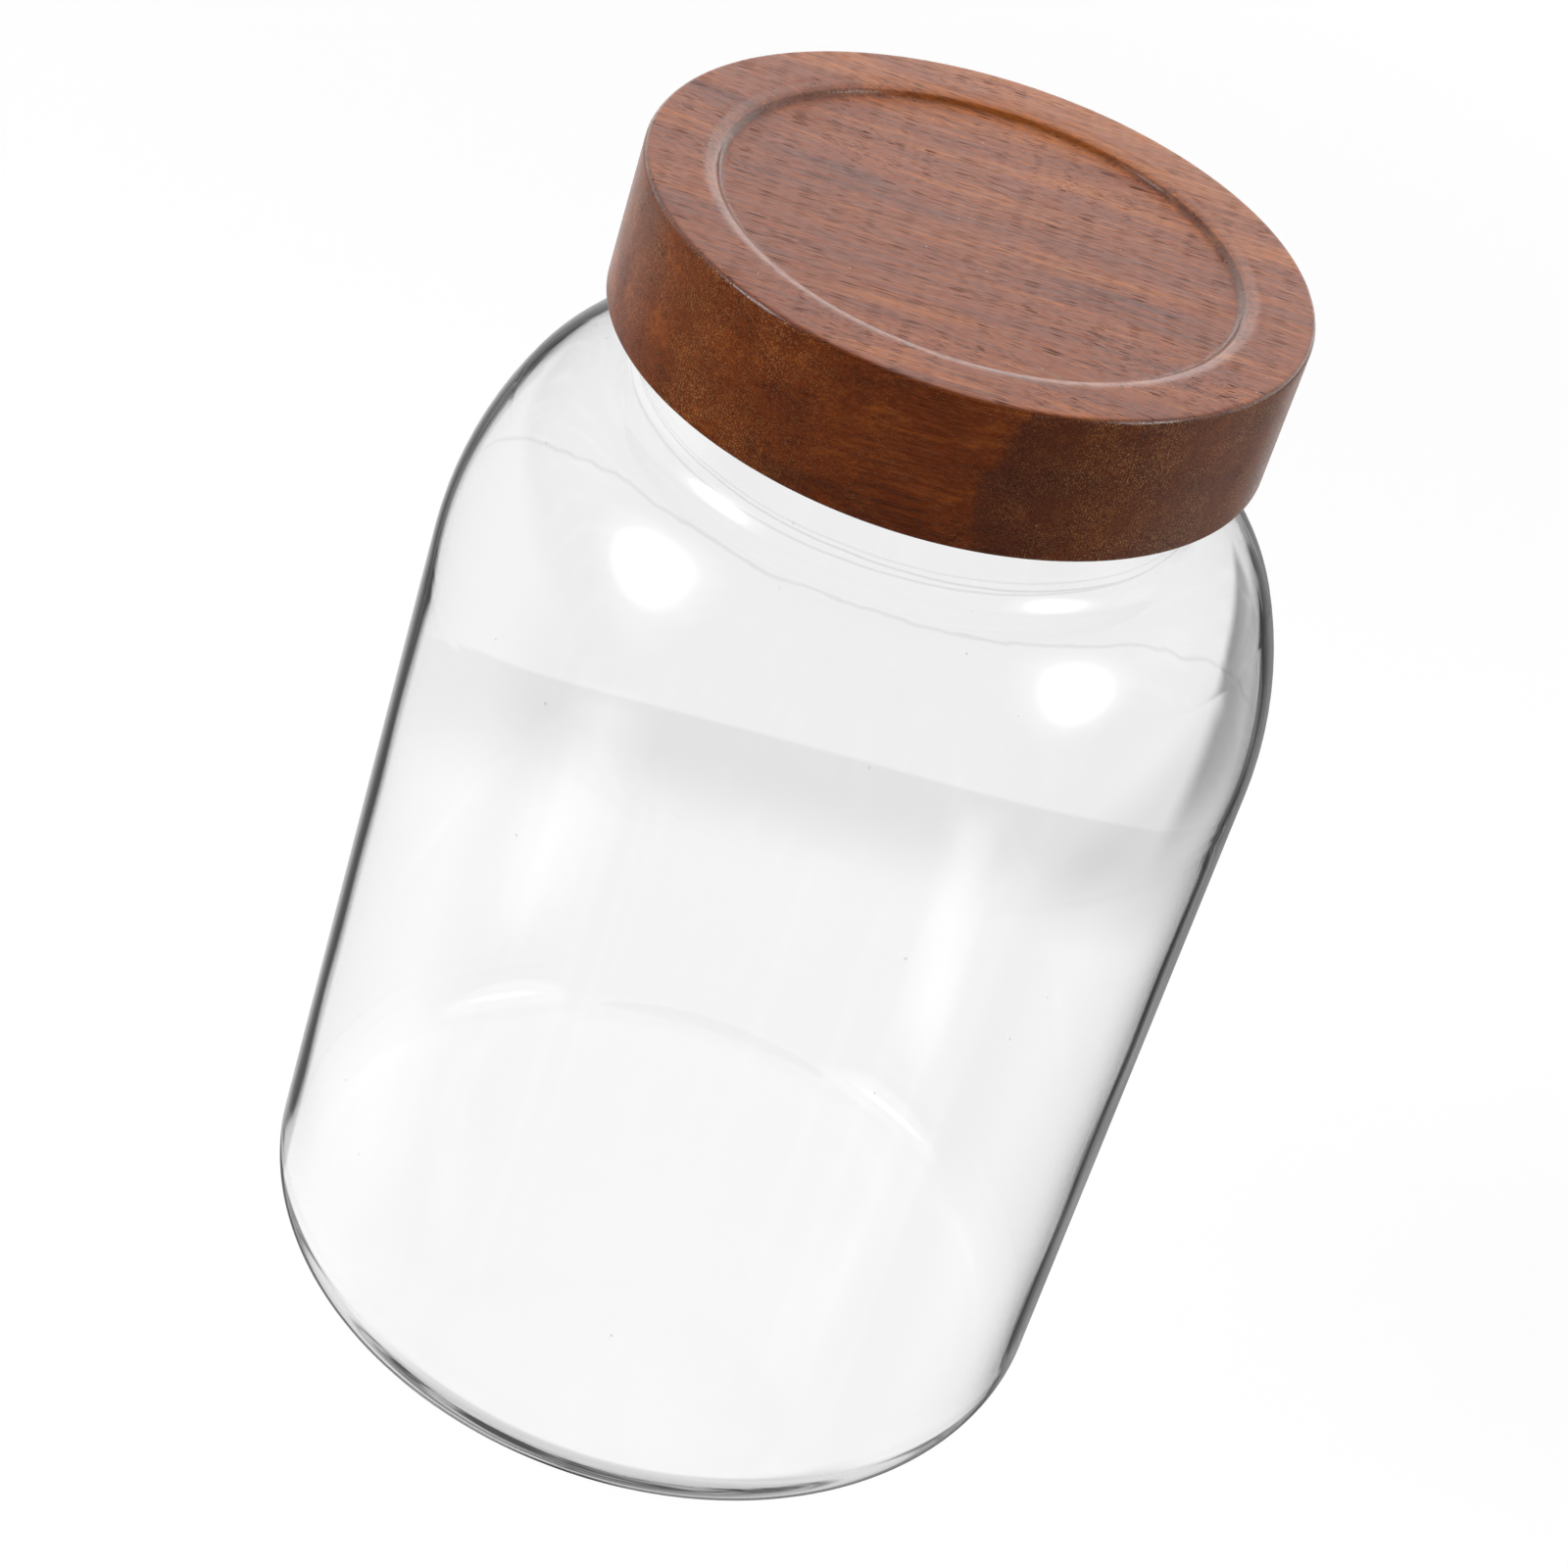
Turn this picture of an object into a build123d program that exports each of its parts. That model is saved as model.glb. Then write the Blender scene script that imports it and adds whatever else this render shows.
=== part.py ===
from build123d import *
import math
import os

# Storage jar with a turned wooden screw lid, in millimetres
# The origin is the middle of the base and +Z points up out of the mouth
os.makedirs("parts", exist_ok=True)

# Glass body
body_diameter = 130.0
straight_wall_height = 117.6
heel_radius = 11.0
glass_wall = 1.8
base_thickness = 2.6
standing_ring_width = 6.0
punt_rise = 1.2

# Shoulder, two arcs that lean in one after the other
lower_shoulder_share = 2.6
lower_shoulder_turn = 26.4
full_shoulder_turn = 71.5

# Neck and rim
neck_diameter = 86.0
neck_height = 23.2
neck_fillet = 4.6
rim_round = 0.6

# Moulded thread round the neck
thread_lead = 5.0
neck_thread_turns = 1.25
neck_thread_round = 1.3
neck_thread_height = 1.1
neck_thread_drop = 4.3

# Sealing ring
ring_thickness = 2.0
ring_overlap = 0.8

# Threaded liner in the lid
liner_wall = 1.5
liner_top_thickness = 1.6
liner_thread_turns = 1.0
liner_thread_round = 1.2
liner_thread_height = 1.0
ring_groove_depth = 0.5
ring_stop_width = 1.2
ring_stop_height = 1.0
glue_groove_pitch = 3.4
glue_groove_width = 1.2
glue_groove_depth = 0.4
glue_groove_count = 4

# Wooden lid
lid_wall = 3.95
lid_height = 23.4
lid_top_thickness = 3.6
lid_top_round = 0.9
lid_bottom_round = 0.5
lid_rim_width = 8.9
recess_depth = 1.6
recess_lip_round = 0.9
recess_cove = 3.4

# Clearances
thread_crest_gap = 0.4
thread_flank_gap = 0.15
ring_side_gap = 0.2
ring_groove_gap = 0.1
bond_gap = 0.05
liner_setback = 1.0

# Glass outline, worked out from the sizes above
body_radius = body_diameter / 2
neck_radius = neck_diameter / 2
wall_top = heel_radius + straight_wall_height
shoulder_reach = body_radius - neck_radius
lower_lean = math.radians(lower_shoulder_turn)
full_lean = math.radians(full_shoulder_turn)
lower_shoulder_radius = lower_shoulder_share * shoulder_reach
lower_shoulder_inset = lower_shoulder_radius * (1 - math.cos(lower_lean))
fillet_inset = neck_fillet * (1 - math.cos(full_lean))
upper_shoulder_radius = (shoulder_reach - lower_shoulder_inset - fillet_inset) / (
    math.cos(lower_lean) - math.cos(full_lean)
)
neck_foot = (
    wall_top
    + lower_shoulder_radius * math.sin(lower_lean)
    + upper_shoulder_radius * (math.sin(full_lean) - math.sin(lower_lean))
    + neck_fillet * math.sin(full_lean)
)
rim_top = neck_foot + neck_height
standing_radius = body_radius - heel_radius
punt_radius = standing_radius - standing_ring_width
bore_radius = neck_radius - glass_wall

# Levels of the lid's pieces, each seated on the one below
ring_top = rim_top + ring_thickness
liner_top = ring_top + liner_top_thickness
lid_top = liner_top + lid_top_thickness + recess_depth
lid_bottom = lid_top - lid_height
liner_bottom = lid_bottom + liner_setback

# Radii of the lid's pieces, each outside the one within
liner_bore_radius = neck_radius + neck_thread_height + thread_crest_gap
ring_groove_radius = liner_bore_radius + ring_groove_depth
ring_outer_radius = ring_groove_radius - ring_side_gap
ring_inner_radius = bore_radius - ring_overlap
liner_radius = liner_bore_radius + liner_wall
lid_bore_radius = liner_radius + bond_gap
lid_radius = lid_bore_radius + lid_wall
recess_radius = lid_radius - lid_rim_width

# Both threads follow one helix family, the liner's bead under the neck's
neck_thread_radius = neck_radius + neck_thread_height - neck_thread_round
neck_thread_start = rim_top - neck_thread_drop - thread_lead * neck_thread_turns
liner_thread_radius = liner_bore_radius - liner_thread_height + liner_thread_round
bead_spacing = neck_thread_round + liner_thread_round + thread_flank_gap
bead_offset = math.sqrt(bead_spacing**2 - (liner_thread_radius - neck_thread_radius) ** 2)
liner_thread_start = liner_bottom + liner_thread_round
liner_thread_angle = 360 * (liner_thread_start + bead_offset - neck_thread_start) / thread_lead


def arc_by_rise(edge_radius, rise):
    """The radius of an arc that reaches edge_radius and stands rise high in the middle."""
    return (edge_radius**2 + rise**2) / (2 * rise)


def glass_outline(inset, floor):
    """Closed outline of the jar as a solid, moved into the glass by inset, with its floor at a height."""
    corner = heel_radius - inset
    side = body_radius - inset
    dome = arc_by_rise(punt_radius, punt_rise)
    dome_angle = math.degrees(math.asin(punt_radius / dome))
    with BuildLine() as outline:
        punt = CenterArc((0, floor + punt_rise - dome), dome, 90, -dome_angle)
        foot = Line(punt @ 1, (standing_radius, floor))
        heel = RadiusArc(foot @ 1, (side, floor + corner), -corner)
        wall = Line(heel @ 1, (side, wall_top))
        lower = JernArc(wall @ 1, wall % 1, lower_shoulder_radius - inset, lower_shoulder_turn)
        upper_turn = full_shoulder_turn - lower_shoulder_turn
        upper = JernArc(lower @ 1, lower % 1, upper_shoulder_radius - inset, upper_turn)
        curve = JernArc(upper @ 1, upper % 1, neck_fillet + inset, -full_shoulder_turn)
        neck = Line(curve @ 1, (neck_radius - inset, rim_top))
        across = Line(neck @ 1, (0, rim_top))
        Line(across @ 1, punt @ 0)
    return outline


def thread_path(radius, start, turns, angle):
    """A right-handed helix that starts at a height and at an angle about the jar."""
    turn = math.radians(angle)
    plane = Plane(origin=(0, 0, start), x_dir=(math.cos(turn), math.sin(turn), 0), z_dir=(0, 0, 1))
    with BuildLine(plane) as path:
        Helix(pitch=thread_lead, height=thread_lead * turns, radius=radius)
    return path


def add_thread(radius, bead, start, turns, angle):
    """Add a round bead along a helix to the part being built, with a ball end on each side."""
    path = thread_path(radius, start, turns, angle)
    with BuildSketch(Plane(origin=path.line @ 0, z_dir=path.line % 0)) as section:
        Circle(bead)
    sweep(section.sketch, path=path.line, is_frenet=True)
    with Locations(path.line @ 0, path.line @ 1):
        Sphere(bead)


# The jar: one wall of glass from the punt to the rim, with its thread
outside = glass_outline(0, 0)
inside = glass_outline(glass_wall, base_thickness)
with BuildPart() as glass_jar:
    with BuildSketch(Plane.XZ):
        make_face(outside.edges())
    revolve(axis=Axis.Z)
    with BuildSketch(Plane.XZ):
        make_face(inside.edges())
    revolve(axis=Axis.Z, mode=Mode.SUBTRACT)
    rim_edges = glass_jar.edges().filter_by(GeomType.CIRCLE).group_by(Axis.Z)[-1]
    fillet(rim_edges, rim_round)
    add_thread(neck_thread_radius, neck_thread_round, neck_thread_start, neck_thread_turns, 0)

# The sealing ring: a flat silicone ring on the rim
with BuildPart() as seal_ring:
    with BuildSketch(Plane.XY.offset(rim_top)):
        Circle(ring_outer_radius)
        Circle(ring_inner_radius, mode=Mode.SUBTRACT)
    extrude(amount=ring_thickness)

# The liner: a moulded cup with a groove for the ring and a thread inside
groove_bottom = rim_top - ring_groove_gap
stop_radius = ring_inner_radius - ring_side_gap
with BuildPart() as threaded_liner:
    with BuildSketch(Plane.XY.offset(liner_bottom)):
        Circle(liner_radius)
    extrude(amount=liner_top - liner_bottom)
    with BuildSketch(Plane.XY.offset(liner_bottom)):
        Circle(liner_bore_radius)
    extrude(amount=ring_top - liner_bottom, mode=Mode.SUBTRACT)
    with BuildSketch(Plane.XY.offset(groove_bottom)):
        Circle(ring_groove_radius)
    extrude(amount=ring_top - groove_bottom, mode=Mode.SUBTRACT)
    with BuildSketch(Plane.XY.offset(ring_top)):
        Circle(stop_radius)
        Circle(stop_radius - ring_stop_width, mode=Mode.SUBTRACT)
    extrude(amount=-ring_stop_height)
    for number in range(glue_groove_count):
        level = liner_top - liner_top_thickness - number * glue_groove_pitch
        with BuildSketch(Plane.XY.offset(level)):
            Circle(liner_radius)
            Circle(liner_radius - glue_groove_depth, mode=Mode.SUBTRACT)
        extrude(amount=-glue_groove_width, mode=Mode.SUBTRACT)
    add_thread(
        liner_thread_radius, liner_thread_round, liner_thread_start, liner_thread_turns, liner_thread_angle
    )

# The lid: turned wood with a dished top and a blind bore for the liner
recess_turn = math.degrees(math.acos(1 - recess_depth / (recess_lip_round + recess_cove)))
with BuildPart() as wooden_lid:
    with BuildSketch(Plane.XZ):
        with BuildLine():
            rim_line = Line((lid_radius, lid_top), (recess_radius, lid_top))
            lip = JernArc(rim_line @ 1, rim_line % 1, recess_lip_round, recess_turn)
            cove = JernArc(lip @ 1, lip % 1, recess_cove, -recess_turn)
            dish = Line(cove @ 1, (0, lid_top - recess_depth))
            Polyline(
                dish @ 1,
                (0, liner_top),
                (lid_bore_radius, liner_top),
                (lid_bore_radius, lid_bottom),
                (lid_radius, lid_bottom),
                rim_line @ 0,
            )
        make_face()
    revolve(axis=Axis.Z)
    outer_edges = wooden_lid.edges().filter_by(GeomType.CIRCLE).sort_by(SortBy.RADIUS)[-2:]
    bottom_edge, top_edge = outer_edges.sort_by(Axis.Z)
    fillet(bottom_edge, lid_bottom_round)
    fillet(top_edge, lid_top_round)

glass_jar.part.label = "glass_jar"
seal_ring.part.label = "seal_ring"
threaded_liner.part.label = "threaded_liner"
wooden_lid.part.label = "wooden_lid"
export_step(glass_jar.part, "parts/glass_jar.step")
export_step(seal_ring.part, "parts/seal_ring.step")
export_step(threaded_liner.part, "parts/threaded_liner.step")
export_step(wooden_lid.part, "parts/wooden_lid.step")
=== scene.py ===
import math

import bpy
import numpy as np
from mathutils import Matrix, Quaternion, Vector


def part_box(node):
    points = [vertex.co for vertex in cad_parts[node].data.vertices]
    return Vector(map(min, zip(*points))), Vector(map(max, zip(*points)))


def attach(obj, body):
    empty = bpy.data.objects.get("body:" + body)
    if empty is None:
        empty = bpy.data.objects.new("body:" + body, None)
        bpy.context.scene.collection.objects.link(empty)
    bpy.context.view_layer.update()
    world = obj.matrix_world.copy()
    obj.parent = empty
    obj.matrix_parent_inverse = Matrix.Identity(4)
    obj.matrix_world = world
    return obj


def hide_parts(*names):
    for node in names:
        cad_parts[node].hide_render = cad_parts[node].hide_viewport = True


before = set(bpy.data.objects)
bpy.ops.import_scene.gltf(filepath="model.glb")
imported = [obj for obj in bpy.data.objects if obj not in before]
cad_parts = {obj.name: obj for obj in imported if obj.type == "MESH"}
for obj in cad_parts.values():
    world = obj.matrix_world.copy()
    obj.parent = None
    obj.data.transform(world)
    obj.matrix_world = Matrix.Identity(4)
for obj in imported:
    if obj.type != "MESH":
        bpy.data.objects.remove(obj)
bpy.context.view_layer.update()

# Storage jar with a turned wooden screw lid, in metres
MM = 0.001
TURN = 2 * math.pi

# Sizes that the frame gives
body_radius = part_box("glass_jar")[1].x
rim_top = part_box("glass_jar")[1].z
ring_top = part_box("seal_ring")[1].z
ring_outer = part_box("seal_ring")[1].x
liner_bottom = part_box("threaded_liner")[0].z
liner_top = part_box("threaded_liner")[1].z
liner_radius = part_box("threaded_liner")[1].x
lid_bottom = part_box("wooden_lid")[0].z
lid_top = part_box("wooden_lid")[1].z
lid_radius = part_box("wooden_lid")[1].x

# Glass, as it is in the part's source
straight_wall = 117.6 * MM
heel_radius = 11 * MM
glass_wall = 1.8 * MM
base_thickness = 2.6 * MM
standing_ring = 6 * MM
punt_rise = 1.2 * MM
lower_shoulder_share = 2.6
lower_shoulder_turn = 26.4
full_shoulder_turn = 71.5
neck_radius = 43 * MM
neck_height = 23.2 * MM
neck_fillet = 4.6 * MM
neck_below_thread = 9 * MM
rim_round = 0.6 * MM

# Waves of the inner wall: how often each goes round, how far it turns a metre up, in radians, and its phase
wave_height = 0.012 * MM
wave_fade = 12 * MM
wave_lobes = ((3, 40, 0), (5, -70, 1), (2, 110, 2))
wave_climb = 95
wave_sway = 2

# Threads
thread_lead = 5 * MM
neck_thread_turns = 1.25
neck_thread_round = 1.3 * MM
neck_thread_height = 1.1 * MM
neck_thread_drop = 4.3 * MM
liner_thread_turns = 1.0
liner_thread_round = 1.2 * MM
liner_thread_height = 1.0 * MM
liner_thread_drop = 1 * MM
thread_crest_gap = 0.4 * MM
thread_flank_gap = 0.15 * MM
thread_blend = 0.25 * MM
wall_tolerance = 0.01 * MM

# Sealing ring and liner
ring_overlap = 0.8 * MM
ring_edge_round = 0.35 * MM
ring_side_gap = 0.2 * MM
ring_groove_gap = 0.1 * MM
ring_groove_depth = 0.5 * MM
ring_stop_width = 1.2 * MM
ring_stop_height = 1.0 * MM
glue_groove_pitch = 3.4 * MM
glue_groove_width = 1.2 * MM
glue_groove_depth = 0.4 * MM
glue_groove_count = 4

# Lid
lid_top_round = 0.9 * MM
lid_bottom_round = 0.5 * MM
lid_rim_width = 9.8 * MM
lid_bore_gap = 0.05 * MM
recess_depth = 1.6 * MM
recess_lip_round = 2.2 * MM
recess_cove = 1.8 * MM
recess_ease = 9.0 * MM
recess_ease_turn = 14.0

# Worked out from the sizes above
neck_thread_centre = neck_radius + neck_thread_height - neck_thread_round
neck_thread_start = rim_top - neck_thread_drop - thread_lead * neck_thread_turns
ring_inner = neck_radius - glass_wall - ring_overlap
liner_bore = neck_radius + neck_thread_height + thread_crest_gap

# Meshes: the columns round each piece, and the angle in degrees from which an edge is sharp
glass_columns = 288
ring_columns = 192
liner_columns = 288
lid_columns = 512
liner_sharp = 50
lid_sharp = 60

# In the pieces' materials a place is in millimetres. A texture's scale is its features a unit of place, for
# all axes or for each. A ramp is the two levels that it runs between, then its values there where they
# aren't 0 and 1. A band is two ramps, one up into it and one down out of it.
noise_range = (0.3, 0.7)

# Painted lines in the glass: a painted reflection as a faint dark line across the front of the shoulder, and
# painted shade as fine dark rings round the neck's foot, where its fillet shows
painted_line_texture = {"scale": 0.07, "detail": 3.0}
reflection_line_front = 47.0
reflection_line_bow = 100.0
reflection_line_width = 0.55
painted_line_wander = 5.0
reflection_line_levels = ((138.0, 150.0), (167.2, 166.4))
reflection_line_strength = 0.2
fillet_line_width = 0.3
fillet_line_wander = 0.12
painted_fillet_lines = (
    {"level": 167.4, "sway": 0.7, "phase": 2.4, "strength": 0.32},
    {"level": 166.5, "sway": 0.6, "phase": 0.4, "strength": 0.26},
    {"level": 168.6, "sway": 0.3, "phase": 1.4, "strength": 0.2},
)

# Clear glass, with a few small seeds in it
glass_seeds = {"scale": 0.09, "edge": (0.035, 0.015), "kept": 0.5}
seed_strength = 0.35
glass_ior = 1.47
glass_shadow = (0.96, 0.96, 0.96, 1)

# Regions of the lid: by how far the surface faces up, where 1 is level, by radius and by height
upright_lift = (0.9, 0.5)
edge_lift = ((0.25, 0.45), (0.93, 0.85))
slope_lift = ((0.2, 0.45), (0.985, 0.9))
lip_lift = (0.9985, 0.985)
end_grain_turn = (0.05, 0.7)
outer_rim = (45.0, 46.0)
dish_levels = (lid_top / MM - 0.5, lid_top / MM - 0.8)

# Wood, with its grain along X
wood_dark = (0.125, 0.032, 0.016)
wood_middle = (0.21, 0.05, 0.014)
wood_light = (0.37, 0.11, 0.026)
# Painted shade: a tint that makes the upright sides darker and browner than the top
side_shade_tint = (0.82, 0.64, 0.3)
# Painted shade: slopes in the dish's cove and on the rounded edges are darkened toward black
slope_shade_tone = (0.0, 0.0, 0.0)
slope_shade = 0.34
grain_drift = {"scale": (0.016, 0.04, 0.04), "detail": 1.0}
grain_sway = (0, 9, 9)
wood_zones = {"scale": (0.02, 0.12, 0.12), "detail": 2.0}
wood_stripes = {"scale": (0.03, 0.9, 0.9), "detail": 4.0, "roughness": 0.7}
wood_fibres = {"scale": (0.2, 3.6, 3.6), "detail": 3.0, "roughness": 0.65}
zone_share = 0.45
stripe_share = 0.55
back_lift = (5.0, 45.0, 0.0, 0.1)
dark_to_middle = (0.36, 0.5)
middle_to_light = (0.5, 0.66)
fibre_shade = (0.25, 0.75, 0.72, 1.28)

# Heartwood on the right of the lid's side, with a bowed and ragged edge
wood_heart = (0.062, 0.018, 0.011)
heart_texture = {"scale": 0.3, "detail": 4.0, "roughness": 0.65}
heart_edge = (6.4, 8.4)
heart_level = 187.5
heart_bow = 0.3
heart_ragged = 5.0
heart_share = 0.6

# Pores, open on the face as dashes along the grain: kept is the random number from which a cell has one
pore_tone = (0.022, 0.006, 0.004)
pore_kinds = (
    {"scale": (0.2, 5.6, 5.6), "kept": 0.66, "largest": 0.45, "strength": 1.0},
    {"scale": (0.4, 8.0, 8.0), "kept": 0.5, "largest": 0.5, "strength": 0.4},
)
pore_crowds = {"scale": (0.03, 0.3, 0.3), "detail": 1.0}
pore_onset = 0.2
pore_least = 0.6
pore_edge = (0.03, -0.06)
pore_share = 0.85
pore_lost_upright = 0.6

# Golden specks on the lid's side, and pale dust
speck_tone = (0.62, 0.34, 0.12)
speck_scale = (2.4, 6.5, 6.5)
speck_edge = (0.6, 0.25)
speck_pick = (0.3, 1.0)
speck_crowds = {"scale": 0.14, "detail": 2.0}
speck_crowding = (0.35, 0.65, 0.35, 1.0)
speck_end_grain = (0.0, 1.0, 0.22, 0.85)
wood_dust_tone = (0.7, 0.5, 0.4)
wood_dust = {"scale": 0.34, "edge": (0.04, 0.02), "kept": 0.55}

# Oiled finish of the wood
wood_ior = 1.36
fibre_roughness = (0.2, 0.8, 0.33, 0.43)
pore_roughness = 0.2
edge_roughness = 0.16
lip_roughness = 0.3
gloss_streaks = {"scale": (0.3, 6.0, 6.0), "detail": 2.0, "roughness": 0.65}
gloss_levels = (0.26, 0.74)
gloss_lost_in_pores = 0.85
lip_gloss = 0.35
fibre_height = 0.4
wood_bump = {"strength": 0.7, "distance": 0.06 * MM}

# Liner and sealing ring
liner_look = {
    "tone": (0.78, 0.76, 0.71),
    "shade": (0.71, 0.69, 0.63),
    "clouds": {"scale": 0.12, "detail": 3.0},
    "specks": {"scale": 0.3, "edge": (0.05, 0.03), "kept": 0.7},
    "speck_tone": (0.45, 0.42, 0.36),
    "speck_share": 0.5,
}
liner_ior = 1.49
liner_grain = {"scale": 6.0, "detail": 2.0}
liner_tool_rings = {"scale": (0.02, 0.02, 5.0), "detail": 2.0}
liner_grain_height = 0.5
liner_roughness = (0.34, 0.48)
liner_bump = {"strength": 0.5, "distance": 0.02 * MM}
ring_look = {
    "tone": (0.82, 0.82, 0.8),
    "shade": (0.74, 0.74, 0.71),
    "clouds": {"scale": 0.25, "detail": 3.0},
    "specks": {"scale": 0.5, "edge": (0.06, 0.03), "kept": 0.6},
    "speck_tone": (0.5, 0.48, 0.44),
    "speck_share": 0.6,
}
ring_ior = 1.41
ring_skin = {"scale": 4.0, "detail": 3.0}
ring_roughness = (0.5, 0.62)
ring_bump = {"strength": 0.4, "distance": 0.02 * MM}

# Camera, at the photograph's viewing angle
camera_target = Vector((-0.0022, 0, 0.09866))
camera_distance = 0.66172
camera_pitch = math.radians(-34.55)
camera_yaw = math.radians(-0.23)
camera_roll = math.radians(18.24)
camera_lens = 96.93
camera_sensor = 36

# Floor, in metres and in brightness, where 1 is white
floor_radius = 6
floor_sides = 128
floor_drop = 0.2 * MM
floor_tone = (0.5, 0.5, 0.5, 1)
floor_shade = (0.25, 0.25, 0.25, 1)
floor_glow = 0.8
floor_far_glow = 0.98
floor_reach = (0.345, 1.2)
plain_white = 1.0

# Floor through glass: pale under the jar, then a grey band of painted shade across it behind the jar, with
# two pale streaks of painted reflection on that
base_reach = (body_radius - 10 * MM, body_radius + 5 * MM)
base_light = (1.12, 1.065)
shade_band_tone = 0.89
back_slant = 0.1
shade_band_start = (0.112, 0.147)
shade_band_end = (0.157, 0.159)
beyond_shade_band = 1.0
# Painted reflections of the lamps in the glass, laid on the floor as pale streaks
streaks = ({"middle": -0.043, "width": 0.014}, {"middle": 0.038, "width": 0.008})
streak_run = ((0.06, 0.1), (0.16, 0.145))
streak_light = 0.1

# Floor through glass: shade on its right, a grey card there, and shade under the front of the heel
side_slant = 0.4
side_start = (-0.005, 0.012)
side_run = ((0.12, 0.15), (0.28, 0.24))
side_shade = 0.17
card_slant = 0.15
card_sides = ((0.0585, 0.0675), (0.1375, 0.1075))
card_start = (0.13, 0.19)
card_end = (0.375, 0.345)
card_tones = (0.0705, 0.0955, 0.18, 0.45)
heel_shade = 0.26
heel_band = ((body_radius - 11.5 * MM, body_radius - 9 * MM), (body_radius + 3 * MM, body_radius))
heel_front = (-0.038, -0.05)

# Surround, in degrees to the right from straight behind the jar, and in height from -1, down, to 1, up
surround = 0.8
sky_fill = 0.3
horizon = (-0.08, 0.02)
front_turn = (60.0, 110.0)
front_tone = 0.12
dark_tone = 0.05
left_start = (-12.0, -17.0)
left_end = (-120.0, -80.0)
left_light = 1.1
left_delay_mirrored = 23.0
left_delay_led_round = 16.0
right_band = ((24.0, 60.0), (110.0, 80.0))
right_light = 0.7
patch_texture = {"scale": (0.16, 3.0, 1.0), "detail": 2.0}
patch_levels = (0.52, 0.64, 0.05, 0.45)

# Surround in sharp reflections
mirror_sky = (0.5, 0.9, 1.0, 0.3)
mirror_patches = (60.0, 80.0)
right_strip = ((3.0, 9.0), (36.0, 22.0))
right_strip_light = 0.42
left_strip = ((-5.0, -10.0), (-14.0, -29.0, 0.85, 0.2), (-50.0, -40.0))

# Surround in soft reflections
soft_sky = (0.3, 0.62, 3.2, 2.6)
soft_ground = 2.6
soft_ground_turn = (15.0, 40.0)
soft_left_end = (-85.0, -45.0)

# Surround as glass leads it round
led_horizon = (-0.1, 0.1)
low_start = (-0.64, -0.7)
low_streaks = {"scale": (0.02, 30.0, 1.0), "detail": 2.0}
low_streak_levels = (0.42, 0.68, 0.1, 0.6)
low_line = -0.815
low_line_edge = (0.07, 0.03)
low_line_light = 0.95
far_wall_surfaces = 3
far_wall_light = 1.0

# Lamps: the way to each from what it shines on, half its width and height, its tilt in degrees and its watts
lamps = {
    "lamp_left": {"direction": (-0.741, -0.292, 0.604), "radii": (0.48, 0.99), "tilt": 28.0, "watts": 62.0},
    "lamp_right": {"direction": (0.784, -0.155, 0.601), "radii": (0.42, 0.82), "tilt": -35.0, "watts": 46.0},
}
lamp_aim = Vector((0, 0, 0.15))
lamp_distance = 1.2

# Light across a lamp, by radius, where 1 is its edge
core_edge = (0.62, 0.0)
halo_edge = (1.0, 0.3)
halo_light = 0.08
halo_light_in_glass = 0.4
lamp_share_in_glass = 0.26
far_streak = (0.95, 0.65, 0.0, 0.055)
far_spark = (0.3, 0.0, 0.0, 0.22)
far_spark_squeeze = (0.42, 1.5)


def arc_by_rise(edge_radius, rise):
    """The radius of an arc that reaches edge_radius and stands rise high in the middle."""
    return (edge_radius**2 + rise**2) / (2 * rise)


class Outline:
    """A profile in radius and height, drawn by a pen that runs straight and turns on arcs."""

    def __init__(self, radius, height, heading):
        self.points = [(radius, height)]
        self.heading = math.radians(heading)

    def face(self, heading):
        """Point the pen, in degrees from outwards, without moving it."""
        self.heading = math.radians(heading)
        return self

    def line(self, length, steps=1):
        """A straight run."""
        radius, height = self.points[-1]
        outward, upward = math.cos(self.heading), math.sin(self.heading)
        for step in range(1, steps + 1):
            run = length * step / steps
            self.points.append((radius + run * outward, height + run * upward))
        return self

    def turn(self, radius, degrees, steps):
        """A tangent arc, to the left for positive degrees and to the right for negative ones."""
        side = math.copysign(1, degrees)
        start_radius, start_height = self.points[-1]
        centre_radius = start_radius - side * radius * math.sin(self.heading)
        centre_height = start_height + side * radius * math.cos(self.heading)
        start = self.heading
        for step in range(1, steps + 1):
            self.heading = start + math.radians(degrees) * step / steps
            self.points.append((
                centre_radius + side * radius * math.sin(self.heading),
                centre_height - side * radius * math.cos(self.heading),
            ))
        return self

    def sides(self, *sides):
        """Straight sides one after another, each given by its heading and length."""
        for heading, length in sides:
            self.face(heading).line(length)
        return self


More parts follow.
